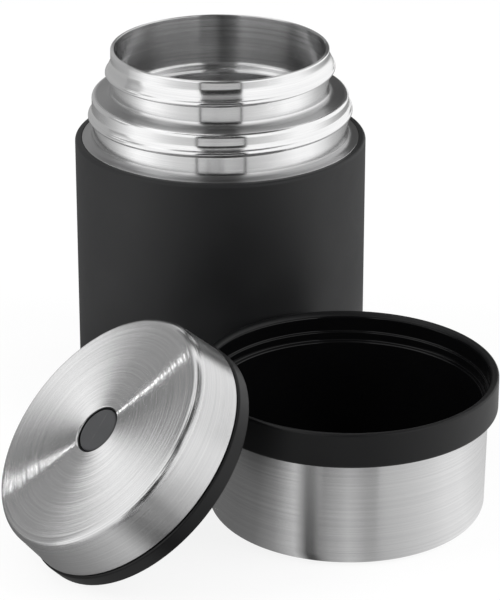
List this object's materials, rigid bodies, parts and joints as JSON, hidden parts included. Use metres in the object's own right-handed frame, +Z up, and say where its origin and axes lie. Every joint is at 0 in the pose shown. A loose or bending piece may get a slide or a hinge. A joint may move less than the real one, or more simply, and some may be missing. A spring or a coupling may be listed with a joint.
{
  "type": "insulated food jar",
  "caption": "Vacuum insulated food jar with a stepped steel neck, a stopper lid with a vent button, and a cup with a black collar that covers them.",
  "frame": {"origin": "centre of the jar's base, on the surface that it stands on", "axes": "+Z up along the jar's axis, out of its mouth; the cup stands beside the jar at +X -Y and the lid leans on the cup at -X -Y"},
  "size_m": [0.1616, 0.2242, 0.1292],
  "materials": {
    "black_coat": "matte black powder coat with a fine grain",
    "neck_steel": "bare steel, polished, with fine lines round the neck",
    "vessel_steel": "bare steel brushed round the axis",
    "copper_foil": "thin copper coloured foil",
    "soft_pad": "matte soft pad",
    "solder_glass": "bead of solder glass",
    "getter_metal": "pressed grey powder",
    "cup_steel": "steel brushed round the wall",
    "gloss_black": "glossy black moulding",
    "matte_black": "black moulding with a fine matte grain",
    "lid_steel": "steel brushed in circles on top and round the side",
    "foam": "closed foam",
    "silicone": "grey silicone",
    "spring_steel": "bright drawn steel",
    "button_grey": "dark grey moulding with a fine grain"
  },
  "bodies": {
    "jar": {"outer_shell": "black_coat", "threaded_neck": "neck_steel", "inner_vessel": "vessel_steel", "radiation_foil": "copper_foil", "base_plate": "vessel_steel", "base_pad": "soft_pad", "vacuum_seal": "solder_glass", "getter_holder": "vessel_steel", "getter": "getter_metal"},
    "cup": {"cup_shell": "cup_steel", "cup_liner": "gloss_black", "cup_collar": "matte_black"},
    "lid": {"lid_cap": "lid_steel", "lid_body": "matte_black", "plug_nose": "matte_black", "foam_core": "foam", "lid_gasket": "silicone", "button_guide": "matte_black", "button_spring": "spring_steel"},
    "button": {"vent_button": "button_grey", "valve_stem": "spring_steel", "valve_disc": "silicone", "stem_clip": "spring_steel"}
  },
  "joints": [
    {"name": "cup_lift", "type": "slide", "parent": "jar", "child": "cup", "axis": [0, 0, 1], "range_m": [0, 0.15]},
    {"name": "lid_lift", "type": "slide", "parent": "cup", "child": "lid", "axis": [0, 0, 1], "range_m": [0, 0.1]},
    {"name": "button_press", "type": "slide", "parent": "lid", "child": "button", "axis": [0.6248, 0.3184, -0.7129], "range_m": [0, 0.0015], "stiffness_N_per_m": 600, "springref_m": -0.002, "deforming": ["button_spring"]}
  ]
}
